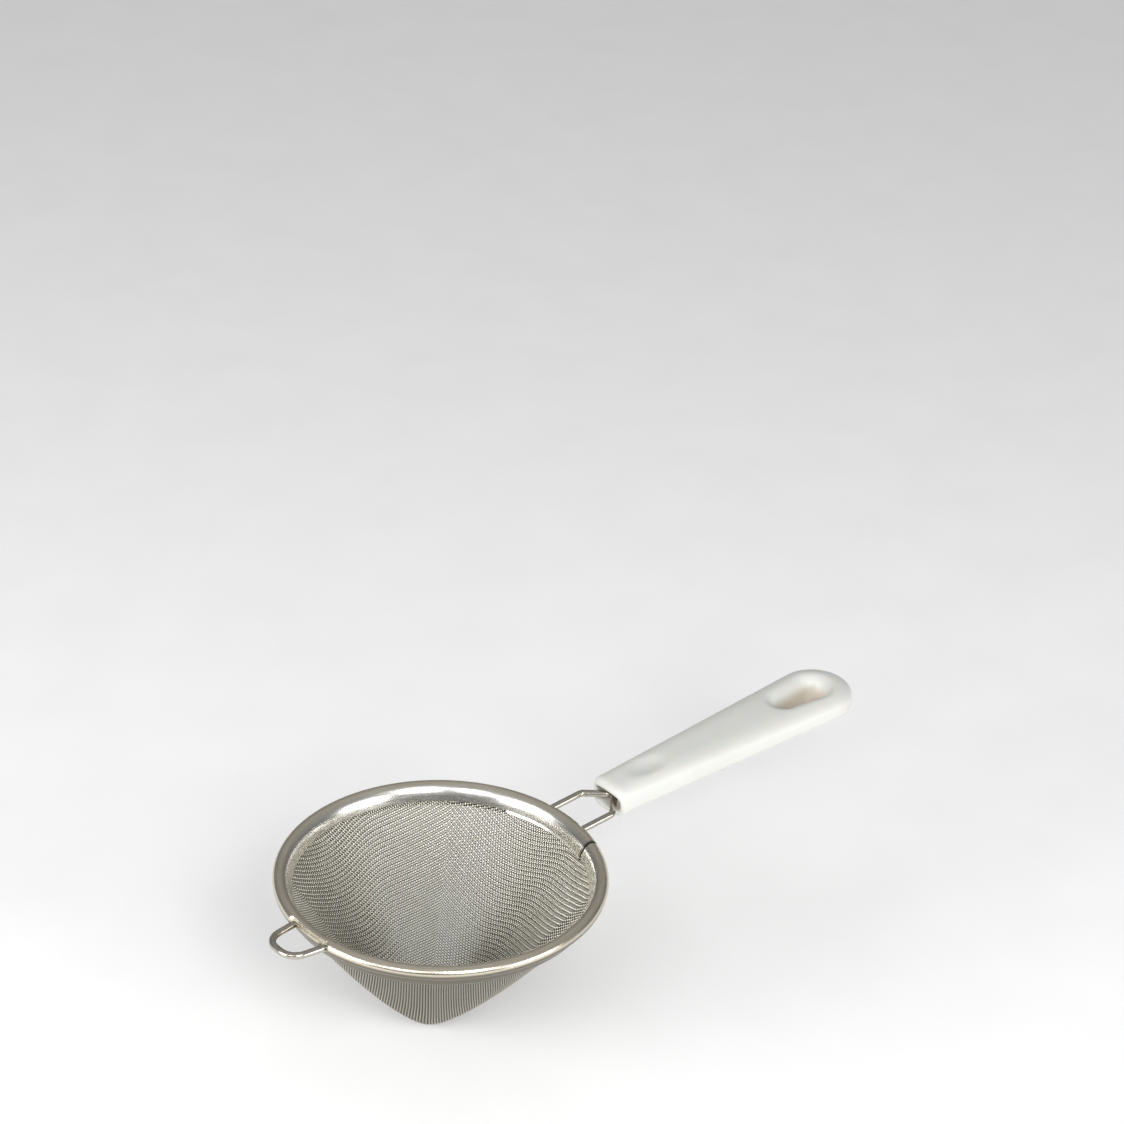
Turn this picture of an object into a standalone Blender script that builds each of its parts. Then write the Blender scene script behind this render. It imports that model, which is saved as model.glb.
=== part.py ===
"""Tea strainer: a drawn cone of woven wire cloth, clamped in a lapped rim band, with a wire
rest loop on one side and a bent wire tang and a moulded grip on the other.

Metres, +Z up, +X along the grip. The rim lies level, the cone hangs below it and its tip
touches z = 0. The rim's axis is at x = RIM_X, so that the origin is under the middle of the
whole object. Profiles are given as (radius, height) about the rim's axis, with height zero
in the plane through the middle of the rim's round bead.
"""

import math

import bmesh
import bpy
from mathutils import Vector

MM = 0.001
GAP = 0.3 * MM                      # clearance kept between neighbouring pieces
OVERSHOOT = 2.0 * MM                # how far a cutter runs past the face it opens

# rim band: one strip of sheet, rolled into a round bead with a sloping leg inside it and
# an upright skirt below it, which clamp the edge of the cloth between them
RIM_RADIUS = 40.0 * MM              # outer face of the bead
BEAD_RADIUS = 1.7 * MM
STRIP = 0.3 * MM                    # thickness of the strip
LEG_LEAN = math.radians(26)         # lean of the leg from the vertical
LEG_DEPTH = 2.2 * MM                # foot of the leg, below the middle of the bead
SKIRT_DEPTH = 4.7 * MM              # foot of the skirt
SKIRT_RADIUS = 36.9 * MM            # mid-plane of the skirt at its foot
BEAD_FOLD = math.radians(-100)      # where the strip folds from the bead into the skirt
LAP_START = math.radians(-20)       # outer end of the strip, seen as the seam
LAP_END = math.radians(22)          # inner end, tucked inside the bead
SEAM_STEP = math.radians(0.25)      # the strip steps inwards in three such steps at the seam
TONGUE_FOOT = -0.2 * MM             # foot of the tucked end's short leg
TONGUE_EDGE = math.radians(-60)     # where the tucked end's section stops, around the bead
RIM_STEP = math.radians(6)
BEAD_POINTS = 9

# woven cone
CLOTH = 0.5 * MM                    # thickness of the woven cloth
CLOTH_EDGE = -1.2 * MM              # the cloth's rim, hidden in the band's channel
CONE_RADIUS = 35.4 * MM             # outer face of the cone level with the foot of the skirt
APEX_DEPTH = 43.0 * MM              # where the cone's sides would meet
CONE_POWER = 1.27                   # 1 is a straight cone, 2 a paraboloid
TIP_RADIUS = 3.0 * MM               # blunt end left by the forming punch
TIP_OFFSET = (-2.2 * MM, 0.7 * MM)  # the tip sits a little off the rim's axis
CONE_SIDES = 56
CONE_RINGS = 11

# wires
WIRE_RADIUS = 0.875 * MM
HOLE_CLEARANCE = 0.3 * MM
PLUG_DEPTH = 1.1 * MM               # how far each wire end sits inside the bead's outer face
WIRE_SIDES = 12
BEND_STEPS = 5
TURN_STEPS = 8                      # steps in a half turn

# rest loop, a wire ear opposite the grip
LOOP_HALF_WIDTH = 5.8 * MM
LOOP_END_HALF_WIDTH = 4.3 * MM
LOOP_REACH = 7.6 * MM               # from the rim's outer face to the loop's far centre line
LOOP_BEND = 4.0 * MM
LOOP_Z = -0.2 * MM

# tang: two legs from the rim that close together and run into the grip
TANG_HALF_WIDTH = 5.85 * MM
TANG_BEND_X = 49.1 * MM
TANG_MOUTH_X = 53.9 * MM
TANG_STRAND = 1.15 * MM             # half the spacing of the two strands in the grip
TANG_END_X = 84.0 * MM
TANG_BEND = 1.8 * MM
TANG_RISE = math.radians(3.5)

# grip
GRIP_START_X = 51.9 * MM
GRIP_END_X = 133.8 * MM
GRIP_FRONT_HALF_WIDTH = 5.7 * MM
GRIP_REAR_HALF_WIDTH = 10.1 * MM
GRIP_FRONT_HALF_HEIGHT = 4.1 * MM
GRIP_REAR_HALF_HEIGHT = 3.5 * MM
GRIP_FRONT_Z = 1.0 * MM
GRIP_REAR_Z = 4.1 * MM
GRIP_SQUARENESS = 3.2               # exponent of the rounded section, 2 is an ellipse
GRIP_EDGE = 1.2 * MM                # rounding of the front edge
GRIP_SIDES = 32
GRIP_STATIONS = 16
FRONT_ANGLES = (0, 45, 90)          # degrees around the front edge
REAR_ANGLES = (15, 30, 45, 58, 70, 80, 86)

SLOT_CENTRE_X = 118.4 * MM
SLOT_LENGTH = 16.4 * MM
SLOT_REAR_WIDTH = 7.6 * MM
SLOT_FRONT_WIDTH = 5.0 * MM

MOUTH_DEPTH = 4.0 * MM
MOUTH_HALF_WIDTH = 4.3 * MM
MOUTH_HALF_HEIGHT = 2.2 * MM
MOUTH_SQUARENESS = 2.9
SOCKET_CLEARANCE = 0.35 * MM

SCOOP_CENTRE_X = 64.6 * MM
SCOOP_LENGTH = 15.0 * MM
SCOOP_WIDTH = 7.5 * MM
SCOOP_DEPTH = 0.7 * MM
SCOOP_LENS = 2.1 * MM               # half the height of the lens that presses it
SCOOP_RINGS = 9

BEAD_CENTRE = RIM_RADIUS - BEAD_RADIUS


def cone_height(radius):
    """Height of the cloth's outer face below the band: a cone with a slight outward belly."""
    fall = APEX_DEPTH - SKIRT_DEPTH
    return -SKIRT_DEPTH - fall * (1 - (radius / CONE_RADIUS) ** CONE_POWER)


CONE_DEPTH = -cone_height(TIP_RADIUS)
RIM_X = -(GRIP_END_X - RIM_RADIUS - LOOP_REACH - WIRE_RADIUS) / 2
RIM_Z = CONE_DEPTH


def clear_scene():
    for item in list(bpy.data.objects):
        bpy.data.objects.remove(item, do_unlink=True)


def material(name, colour, roughness, metallic):
    made = bpy.data.materials.new(name)
    made.use_nodes = True
    shader = made.node_tree.nodes["Principled BSDF"]
    shader.inputs["Base Color"].default_value = (*colour, 1.0)
    shader.inputs["Roughness"].default_value = roughness
    shader.inputs["Metallic"].default_value = metallic
    return made


def add_object(name, verts, faces, finish):
    """A named object at the rim's axis, from points given about that axis."""
    mesh = bpy.data.meshes.new(name)
    mesh.from_pydata([tuple(v) for v in verts], [], faces)
    mesh.validate()
    work = bmesh.new()
    work.from_mesh(mesh)
    bmesh.ops.recalc_face_normals(work, faces=work.faces)
    work.to_mesh(mesh)
    work.free()
    mesh.shade_smooth()
    mesh.set_sharp_from_angle(angle=math.radians(35))
    mesh.materials.append(finish)
    piece = bpy.data.objects.new(name, mesh)
    piece.location = (RIM_X, 0.0, RIM_Z)
    bpy.context.scene.collection.objects.link(piece)
    return piece


def skin(rings, closed):
    """Faces that join equal rings of points, with flat ends unless the row is closed."""
    count, around = len(rings), len(rings[0])
    verts = [point for ring in rings for point in ring]
    faces = []
    for i in range(count if closed else count - 1):
        near, far = i * around, ((i + 1) % count) * around
        for j in range(around):
            k = (j + 1) % around
            faces.append((near + j, near + k, far + k, far + j))
    if not closed:
        faces.append(tuple(reversed(range(around))))
        faces.append(tuple(range((count - 1) * around, count * around)))
    return verts, faces


def cut(piece, cutter):
    """Boolean difference, left on the piece as a modifier."""
    cutter.hide_render = True
    cutter.display_type = "WIRE"
    knife = piece.modifiers.new("cut_" + cutter.name, "BOOLEAN")
    knife.operation = "DIFFERENCE"
    knife.solver = "EXACT"
    knife.object = cutter


# ---- wires ---------------------------------------------------------------------------

def bent_path(corners, radius):
    """The corner points joined by straight runs, each corner rounded by an arc."""
    path = [corners[0]]
    for before, corner, after in zip(corners, corners[1:], corners[2:]):
        a, b = (before - corner).normalized(), (after - corner).normalized()
        half = a.angle(b) / 2
        reach = radius / math.tan(half)
        centre = corner + (a + b).normalized() * (radius / math.sin(half))
        first, last = corner + a * reach - centre, corner + b * reach - centre
        swing = first.angle(last)
        for step in range(BEND_STEPS + 1):
            t = step / BEND_STEPS
            arm = (first * math.sin((1 - t) * swing) + last * math.sin(t * swing)) / math.sin(swing)
            path.append(centre + arm)
    path.append(corners[-1])
    return path


def tube(path, radius):
    """Rings about a path whose bends all lie nearly in one level plane."""
    rings = []
    for i, point in enumerate(path):
        heading = (path[min(i + 1, len(path) - 1)] - path[max(i - 1, 0)]).normalized()
        across = heading.cross(Vector((0, 0, 1))).normalized()
        over = across.cross(heading)
        rings.append([
            point + (across * math.cos(turn) + over * math.sin(turn)) * radius
            for turn in (2 * math.pi * k / WIRE_SIDES for k in range(WIRE_SIDES))
        ])
    return skin(rings, closed=False)


def tang_point(x, y):
    """A point of the tang, which climbs slightly away from the rim."""
    return Vector((x, y, (x - RIM_RADIUS) * math.tan(TANG_RISE)))


def tang_wire(finish):
    half = [
        tang_point(RIM_RADIUS - PLUG_DEPTH, TANG_HALF_WIDTH),
        tang_point(TANG_BEND_X, TANG_HALF_WIDTH),
        tang_point(TANG_MOUTH_X, TANG_STRAND),
    ]
    turn = [
        tang_point(TANG_END_X + TANG_STRAND * math.sin(a), TANG_STRAND * math.cos(a))
        for a in (math.pi * k / TURN_STEPS for k in range(TURN_STEPS + 1))
    ]
    out = bent_path(half + [turn[0]], TANG_BEND)
    back = [Vector((p.x, -p.y, p.z)) for p in reversed(out)]
    return add_object("tang_wire", *tube(out[:-1] + turn + back[1:], WIRE_RADIUS), finish)


def rest_loop(finish):
    root, far = RIM_RADIUS - PLUG_DEPTH, -(RIM_RADIUS + LOOP_REACH)
    corners = [
        Vector((-root, LOOP_HALF_WIDTH, LOOP_Z)),
        Vector((far, LOOP_END_HALF_WIDTH, LOOP_Z)),
        Vector((far, -LOOP_END_HALF_WIDTH, LOOP_Z)),
        Vector((-root, -LOOP_HALF_WIDTH, LOOP_Z)),
    ]
    return add_object("rest_loop", *tube(bent_path(corners, LOOP_BEND), WIRE_RADIUS), finish)


# ---- rim band ------------------------------------------------------------------------

def strip_path(trimmed, tucked):
    """Mid-line of the strip from the foot of the leg, over the bead, to the foot of the skirt.

    The outer section is whole. The tucked tongue is trimmed to the bead and lies inside it.
    """
    radius = BEAD_RADIUS - STRIP / 2 - (STRIP + GAP if tucked else 0)

    def bead(turn):
        return BEAD_CENTRE + radius * math.cos(turn), radius * math.sin(turn)

    top = math.pi - LEG_LEAN
    bottom = TONGUE_EDGE if trimmed else BEAD_FOLD
    step = (bottom - top) / (BEAD_POINTS - 1)
    arc = [bead(top + step * k) for k in range(BEAD_POINTS)]
    top_r, top_z = arc[0]
    foot_z = TONGUE_FOOT if trimmed else -LEG_DEPTH
    foot = (top_r - (top_z - foot_z) * math.tan(LEG_LEAN), foot_z)
    hem = bead(bottom + step) if trimmed else (SKIRT_RADIUS, -SKIRT_DEPTH)
    return [foot] + arc + [hem]


def thicken(path, thickness):
    """Closed outline of a strip about its mid-line, with mitred corners."""
    left, right = [], []
    points = [Vector(p) for p in path]
    for i, point in enumerate(points):
        before = points[max(i - 1, 0)]
        after = points[min(i + 1, len(points) - 1)]
        into = (point - before).normalized() if i else (after - point).normalized()
        out = (after - point).normalized() if i < len(points) - 1 else into
        normal_in, normal_out = Vector((-into.y, into.x)), Vector((-out.y, out.x))
        mitre = (normal_in + normal_out).normalized()
        reach = thickness / 2 / max(mitre.dot(normal_in), 0.5)
        left.append(point + mitre * reach)
        right.append(point - mitre * reach)
    return left + right[::-1]


def rim_stations():
    """Angle, trimmed and tucked for each section along the strip, from its outer end."""
    seam = LAP_START + 2 * math.pi
    span = 2 * math.pi - 3 * SEAM_STEP
    steps = math.ceil(span / RIM_STEP)
    stations = [(LAP_START + span * k / steps, False, False) for k in range(steps + 1)]
    stations.append((seam - 2 * SEAM_STEP, True, False))
    tongue_start, tongue_end = seam - SEAM_STEP, LAP_END + 2 * math.pi
    steps = math.ceil((tongue_end - tongue_start) / RIM_STEP)
    stations += [
        (tongue_start + (tongue_end - tongue_start) * k / steps, True, True)
        for k in range(steps + 1)
    ]
    return stations


def rim_band(finish):
    rings = [
        [(r * math.cos(turn), r * math.sin(turn), z)
         for r, z in thicken(strip_path(trimmed, tucked), STRIP)]
        for turn, trimmed, tucked in rim_stations()
    ]
    band = add_object("rim_band", *skin(rings, closed=False), finish)
    for name, side, half_width, z in (
        ("tang_holes", 1, TANG_HALF_WIDTH, 0.0),
        ("loop_holes", -1, LOOP_HALF_WIDTH, LOOP_Z),
    ):
        cut(band, pair_of_drills(name, side, half_width, z, finish))
    return band


def pair_of_drills(name, side, half_width, z, finish):
    """Two round cutters that open the bead's outer wall where the wires plug in."""
    radius = WIRE_RADIUS + HOLE_CLEARANCE
    inner, outer = RIM_RADIUS - PLUG_DEPTH - GAP, RIM_RADIUS + OVERSHOOT
    verts, faces = [], []
    for y in (half_width, -half_width):
        rings = [
            [(x, y + radius * math.cos(a), z + radius * math.sin(a))
             for a in (2 * math.pi * (k + 0.5) / WIRE_SIDES for k in range(WIRE_SIDES))]
            for x in (side * inner, side * outer)
        ]
        part_verts, part_faces = skin(rings, closed=False)
        faces += [tuple(i + len(verts) for i in face) for face in part_faces]
        verts += part_verts
    return add_object(name, verts, faces, finish)


# ---- woven cone ----------------------------------------------------------------------

def clamped_radius(z):
    """Outer face of the cloth in the band, where it lies a gap away from the leg."""
    top_r, top_z = strip_path(trimmed=False, tucked=False)[1]
    leg = top_r - (top_z - z) * math.tan(LEG_LEAN)
    return leg + (STRIP / 2 + GAP + CLOTH) / math.cos(LEG_LEAN)


def cone_shift(z):
    """Sideways shift of the cone's centre, growing from the rim to the tip."""
    t = max(0.0, (-z - SKIRT_DEPTH) / (CONE_DEPTH - SKIRT_DEPTH))
    return TIP_OFFSET[0] * t, TIP_OFFSET[1] * t


def mesh_cone(finish):
    outer = [(clamped_radius(z), z) for z in (CLOTH_EDGE, -LEG_DEPTH)]
    for k in range(CONE_RINGS):
        radius = CONE_RADIUS + (TIP_RADIUS - CONE_RADIUS) * k / (CONE_RINGS - 1)
        outer.append((radius, cone_height(radius)))
    rings = []
    for r, z in thicken_inwards(outer)[::-1] + outer:
        dx, dy = cone_shift(z)
        rings.append([
            (r * math.cos(a) + dx, r * math.sin(a) + dy, z)
            for a in (2 * math.pi * k / CONE_SIDES for k in range(CONE_SIDES))
        ])
    # flat discs close the two tip rings, and the cloth's edge joins the inner face to the outer
    return add_object("mesh_cone", *skin(rings, closed=False), finish)


def thicken_inwards(outer):
    """The same profile moved square to itself by the cloth's thickness, towards the axis."""
    inner = []
    for i, (r, z) in enumerate(outer):
        r0, z0 = outer[max(i - 1, 0)]
        r1, z1 = outer[min(i + 1, len(outer) - 1)]
        length = math.hypot(r1 - r0, z1 - z0)
        inner.append((r + (z1 - z0) / length * CLOTH, z - (r1 - r0) / length * CLOTH))
    return inner


# ---- grip ----------------------------------------------------------------------------

def grip_axis(x):
    """Height of the grip's middle at a station."""
    t = (x - GRIP_START_X) / (GRIP_END_X - GRIP_START_X)
    return GRIP_FRONT_Z + (GRIP_REAR_Z - GRIP_FRONT_Z) * t


def grip_half_size(x):
    """Half width and half height at a station, before the ends are rounded."""
    t = (x - GRIP_START_X) / (GRIP_END_X - GRIP_REAR_HALF_WIDTH - GRIP_START_X)
    ease = min(t, 1.0)
    width = GRIP_FRONT_HALF_WIDTH + (GRIP_REAR_HALF_WIDTH - GRIP_FRONT_HALF_WIDTH) * ease
    height = GRIP_FRONT_HALF_HEIGHT + (GRIP_REAR_HALF_HEIGHT - GRIP_FRONT_HALF_HEIGHT) * ease
    return width, height


def superellipse(half_width, half_height, squareness):
    """Points (y, z) around a rounded section."""
    points = []
    for k in range(GRIP_SIDES):
        a = 2 * math.pi * (k + 0.5) / GRIP_SIDES
        y = math.copysign(abs(math.cos(a)) ** (2 / squareness), math.cos(a)) * half_width
        z = math.copysign(abs(math.sin(a)) ** (2 / squareness), math.sin(a)) * half_height
        points.append((y, z))
    return points


def rounded_section(x, half_width, half_height):
    """The grip's outline at a station."""
    outline = superellipse(half_width, half_height, GRIP_SQUARENESS)
    return [(x, y, grip_axis(x) + z) for y, z in outline]


def grip_sections():
    """Sections from the rounded front edge to the round rear end."""
    sections = []
    for angle in FRONT_ANGLES:
        inset = GRIP_EDGE * (1 - math.sin(math.radians(angle)))
        x = GRIP_START_X + GRIP_EDGE * (1 - math.cos(math.radians(angle)))
        width, height = grip_half_size(x)
        sections.append(rounded_section(x, width - inset, height - inset))
    rear_x = GRIP_END_X - GRIP_REAR_HALF_WIDTH
    for k in range(1, GRIP_STATIONS + 1):
        x = GRIP_START_X + GRIP_EDGE + (rear_x - GRIP_START_X - GRIP_EDGE) * k / GRIP_STATIONS
        sections.append(rounded_section(x, *grip_half_size(x)))
    for angle in REAR_ANGLES:
        turn = math.radians(angle)
        x = rear_x + GRIP_REAR_HALF_WIDTH * math.sin(turn)
        height = GRIP_REAR_HALF_HEIGHT * (
            1 - math.sin(turn) ** GRIP_SQUARENESS) ** (1 / GRIP_SQUARENESS)
        sections.append(rounded_section(x, GRIP_REAR_HALF_WIDTH * math.cos(turn), height))
    return sections


def slot_cutter(finish):
    """A long egg-shaped hole right through the grip, narrower towards the front."""
    front_r, rear_r = SLOT_FRONT_WIDTH / 2, SLOT_REAR_WIDTH / 2
    front_x = SLOT_CENTRE_X - SLOT_LENGTH / 2 + front_r
    rear_x = SLOT_CENTRE_X + SLOT_LENGTH / 2 - rear_r
    lean = math.asin((rear_r - front_r) / (rear_x - front_x))
    outline = []
    for centre, radius, start, stop in (
        (rear_x, rear_r, -math.pi / 2 - lean, math.pi / 2 + lean),
        (front_x, front_r, math.pi / 2 + lean, 3 * math.pi / 2 - lean),
    ):
        for k in range(TURN_STEPS + 1):
            a = start + (stop - start) * k / TURN_STEPS
            outline.append((centre + radius * math.cos(a), radius * math.sin(a)))
    reach = GRIP_FRONT_HALF_HEIGHT + OVERSHOOT
    middle = grip_axis(SLOT_CENTRE_X)
    rings = [[(x, y, z) for x, y in outline] for z in (middle - reach, middle + reach)]
    return add_object("slot_cutter", *skin(rings, closed=False), finish)


def mouth_cutter(finish):
    """The recess in the front face that the two strands close up in."""
    outline = superellipse(MOUTH_HALF_WIDTH, MOUTH_HALF_HEIGHT, MOUTH_SQUARENESS)
    rings = []
    for x in (GRIP_START_X - OVERSHOOT, GRIP_START_X + MOUTH_DEPTH):
        middle = tang_point(x, 0).z
        rings.append([(x, y, middle + z) for y, z in outline])
    return add_object("mouth_cutter", *skin(rings, closed=False), finish)


def socket_cutter(finish):
    """The flat bore that the two strands lie in."""
    half_y = TANG_STRAND + WIRE_RADIUS + SOCKET_CLEARANCE
    half_z = WIRE_RADIUS + SOCKET_CLEARANCE
    rings = []
    for x in (GRIP_START_X + MOUTH_DEPTH - OVERSHOOT, TANG_END_X + half_y):
        middle = tang_point(x, 0).z
        rings.append([
            (x, sy * half_y, middle + sz * half_z)
            for sy, sz in ((1, -1), (1, 1), (-1, 1), (-1, -1))
        ])
    return add_object("socket_cutter", *skin(rings, closed=False), finish)


def scoop_cutter(finish):
    """A lens that presses the shallow thumb rest into the top face."""
    top = grip_axis(SCOOP_CENTRE_X) + grip_half_size(SCOOP_CENTRE_X)[1]
    middle = top + SCOOP_LENS - SCOOP_DEPTH
    spread = 1 / math.sqrt(1 - (1 - SCOOP_DEPTH / SCOOP_LENS) ** 2)
    rings = []
    for i in range(SCOOP_RINGS):
        tilt = math.pi * ((i + 0.5) / SCOOP_RINGS - 0.5)
        length, width = (size / 2 * spread * math.cos(tilt) for size in (SCOOP_LENGTH, SCOOP_WIDTH))
        rings.append([
            (SCOOP_CENTRE_X + length * math.cos(a), width * math.sin(a),
             middle + SCOOP_LENS * math.sin(tilt))
            for a in (2 * math.pi * k / GRIP_SIDES for k in range(GRIP_SIDES))
        ])
    return add_object("scoop_cutter", *skin(rings, closed=False), finish)


def handle_grip(finish):
    grip = add_object("handle_grip", *skin(grip_sections(), closed=False), finish)
    for make in (slot_cutter, mouth_cutter, socket_cutter, scoop_cutter):
        cut(grip, make(finish))
    return grip


def main():
    clear_scene()
    steel = material("brushed_steel", (0.46, 0.43, 0.38), 0.32, 1.0)
    wire = material("drawn_wire", (0.52, 0.50, 0.46), 0.28, 1.0)
    cloth = material("woven_cloth", (0.50, 0.49, 0.46), 0.35, 1.0)
    plastic = material("white_plastic", (0.80, 0.80, 0.77), 0.42, 0.0)
    rim_band(steel)
    mesh_cone(cloth)
    rest_loop(wire)
    tang_wire(wire)
    handle_grip(plastic)


main()
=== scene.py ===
"""Tea strainer, visual model: real woven wire cloth, a rolled and lapped rim band, welded wires
and a moulded grip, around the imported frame.

Lengths are in millimetres about the rim's axis: x along the grip, z up, and height zero in the
plane through the middle of the rim's round bead. Each piece's object stands at that point, so
a material's object coordinates start there as well.
"""

import math

import bpy
import numpy as np
from mathutils import Matrix, Vector


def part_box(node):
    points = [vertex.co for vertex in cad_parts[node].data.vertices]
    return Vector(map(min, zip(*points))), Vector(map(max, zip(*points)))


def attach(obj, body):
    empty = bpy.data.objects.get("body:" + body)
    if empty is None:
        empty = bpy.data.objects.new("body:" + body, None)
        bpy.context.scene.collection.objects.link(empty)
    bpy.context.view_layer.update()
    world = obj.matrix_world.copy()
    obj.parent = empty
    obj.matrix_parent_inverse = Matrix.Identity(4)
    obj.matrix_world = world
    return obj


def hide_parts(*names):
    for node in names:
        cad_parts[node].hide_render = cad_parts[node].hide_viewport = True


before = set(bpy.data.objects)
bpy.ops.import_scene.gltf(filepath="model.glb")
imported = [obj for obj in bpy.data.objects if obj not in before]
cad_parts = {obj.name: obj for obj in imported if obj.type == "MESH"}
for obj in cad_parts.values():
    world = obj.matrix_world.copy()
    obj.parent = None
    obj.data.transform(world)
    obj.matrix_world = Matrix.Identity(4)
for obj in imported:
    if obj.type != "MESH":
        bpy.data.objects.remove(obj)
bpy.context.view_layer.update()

MM = 0.001

# ---- the frame's own sizes ---------------------------------------------------------------

BEAD_RADIUS = 1.7                                   # the rim's round bead
rim_low, rim_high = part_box("rim_band")
cone_low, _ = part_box("mesh_cone")
loop_low, loop_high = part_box("rest_loop")
tang_low, tang_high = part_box("tang_wire")
grip_low, grip_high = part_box("handle_grip")

RIM_RADIUS = (rim_high.x - rim_low.x) / 2 / MM
RIM_CENTRE = Vector(((rim_low.x + rim_high.x) / 2, (rim_low.y + rim_high.y) / 2,
                     rim_high.z - BEAD_RADIUS * MM))


def along(x):
    """A world x as millimetres from the rim's axis."""
    return (x - RIM_CENTRE.x) / MM


def above(z):
    """A world z as millimetres from the middle of the bead."""
    return (z - RIM_CENTRE.z) / MM


CONE_DEPTH = -above(cone_low.z)
BEAD_CENTRE = RIM_RADIUS - BEAD_RADIUS


# ---- mesh helpers --------------------------------------------------------------------------

def add_piece(name, verts, faces, node, finish, sharp=None):
    """A mesh piece that stands for a CAD node, from points in millimetres about the rim."""
    mesh = bpy.data.meshes.new(name)
    verts = np.asarray(verts, float) * MM
    mesh.from_pydata(verts.tolist(), [], faces)
    mesh.shade_smooth()
    if sharp is not None:
        mesh.set_sharp_from_angle(angle=math.radians(sharp))
    mesh.materials.append(finish)
    piece = bpy.data.objects.new(name, mesh)
    piece.location = RIM_CENTRE
    bpy.context.scene.collection.objects.link(piece)
    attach(piece, "root")
    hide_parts(node)
    return piece


def tint(piece, name, values):
    """Stores a number at each point, for the piece's material to read."""
    layer = piece.data.attributes.new(name, "FLOAT", "POINT")
    layer.data.foreach_set("value", values)


def grid_faces(rows, around):
    """Quads that join rows of points, each row closed on itself, as an array of indices."""
    i = np.arange(rows - 1)[:, None]
    j = np.arange(around)[None, :]
    near, far = i * around, (i + 1) * around
    k = (j + 1) % around
    return np.stack([near + j, near + k, far + k, far + j], -1).reshape(-1, 4)


def smooth_max(a, b, width):
    """The larger of two fields, with the edge between them rounded over a width."""
    blend = np.maximum(width - np.abs(a - b), 0) / width
    return np.maximum(a, b) + blend ** 2 * width / 4


def ease(t):
    """0 to 1 with level ends."""
    t = np.clip(t, 0, 1)
    return t * t * (3 - 2 * t)


def fade(value, full, gone):
    """1 where a value is at or past full and 0 where it is at or past gone, eased between."""
    return ease((gone - value) / (gone - full))


def sweep(path, radius, sides):
    """A round wire along a path, with its last ring at each end drawn in to half its size."""
    path = np.asarray(path, float)
    ahead = np.vstack([path[1:], path[-1:]]) - np.vstack([path[:1], path[:-1]])
    ahead /= np.linalg.norm(ahead, axis=1)[:, None]
    across = np.cross(ahead, (0, 0, 1.0))
    across /= np.linalg.norm(across, axis=1)[:, None]
    over = np.cross(across, ahead)
    turn = 2 * math.pi * np.arange(sides) / sides
    ring = (np.cos(turn)[None, :, None] * across[:, None]
            + np.sin(turn)[None, :, None] * over[:, None])
    verts = path[:, None] + ring * radius
    rows = [(verts[0] + path[0]) / 2, *verts, (verts[-1] + path[-1]) / 2]
    faces = grid_faces(len(rows), sides).tolist()
    faces.append(list(range(sides))[::-1])
    faces.append(list(range((len(rows) - 1) * sides, len(rows) * sides)))
    return np.concatenate(rows), faces


def bent_path(corners, radii, steps=10, spacing=1.5):
    """Corner points joined by straight runs, each corner rounded by an arc of its radius."""
    corners = [Vector(c) for c in corners]
    path = [corners[0]]
    for before, corner, after, radius in zip(corners, corners[1:], corners[2:], radii):
        a, b = (before - corner).normalized(), (after - corner).normalized()
        half = a.angle(b) / 2
        centre = corner + (a + b).normalized() * (radius / math.sin(half))
        reach = radius / math.tan(half)
        first, last = corner + a * reach - centre, corner + b * reach - centre
        swing = first.angle(last)
        for step in range(steps + 1):
            t = step / steps
            arm = first * math.sin((1 - t) * swing) + last * math.sin(t * swing)
            path.append(centre + arm / math.sin(swing))
    path.append(corners[-1])
    points = [path[0]]
    for start, stop in zip(path, path[1:]):
        count = max(1, math.ceil((stop - start).length / spacing))
        points += [start.lerp(stop, k / count) for k in range(1, count + 1)]
    return [tuple(p) for p in points]


# ---- materials -----------------------------------------------------------------------------

NOISE_ROUGHNESS = 0.55


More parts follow.
